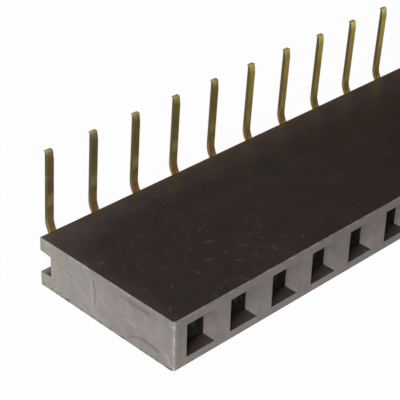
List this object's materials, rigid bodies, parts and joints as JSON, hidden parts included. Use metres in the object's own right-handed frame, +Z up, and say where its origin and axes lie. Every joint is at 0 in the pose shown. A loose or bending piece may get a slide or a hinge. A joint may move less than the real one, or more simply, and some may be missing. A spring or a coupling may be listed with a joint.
{
  "type": "right-angle female pin header strip",
  "caption": "Right-angle female header strip: flat black housing with a row of square sockets and upturned gold solder tails behind it.",
  "frame": {"origin": "centre of the housing's broad underside, the face the strip lies on", "axes": "+X along the row of contacts, +Y from the socket face towards the solder tails, +Z up, the way the tails point"},
  "size_m": [0.0514, 0.0098, 0.0058],
  "materials": {
    "housing_plastic": "black moulded glass-filled plastic, satin on the broad faces, hazy grey sheen on the narrow ones",
    "contact_metal": "thin gold flash over nickel on phosphor bronze strip, semi-bright, with brighter sheared ends"
  },
  "bodies": {
    "root": {"housing": "housing_plastic", "contact_01": "contact_metal", "contact_02": "contact_metal", "contact_03": "contact_metal", "contact_04": "contact_metal", "contact_05": "contact_metal", "contact_06": "contact_metal", "contact_07": "contact_metal", "contact_08": "contact_metal", "contact_09": "contact_metal", "contact_10": "contact_metal", "contact_11": "contact_metal", "contact_12": "contact_metal", "contact_13": "contact_metal", "contact_14": "contact_metal", "contact_15": "contact_metal", "contact_16": "contact_metal", "contact_17": "contact_metal", "contact_18": "contact_metal", "contact_19": "contact_metal", "contact_20": "contact_metal"}
  },
  "joints": []
}
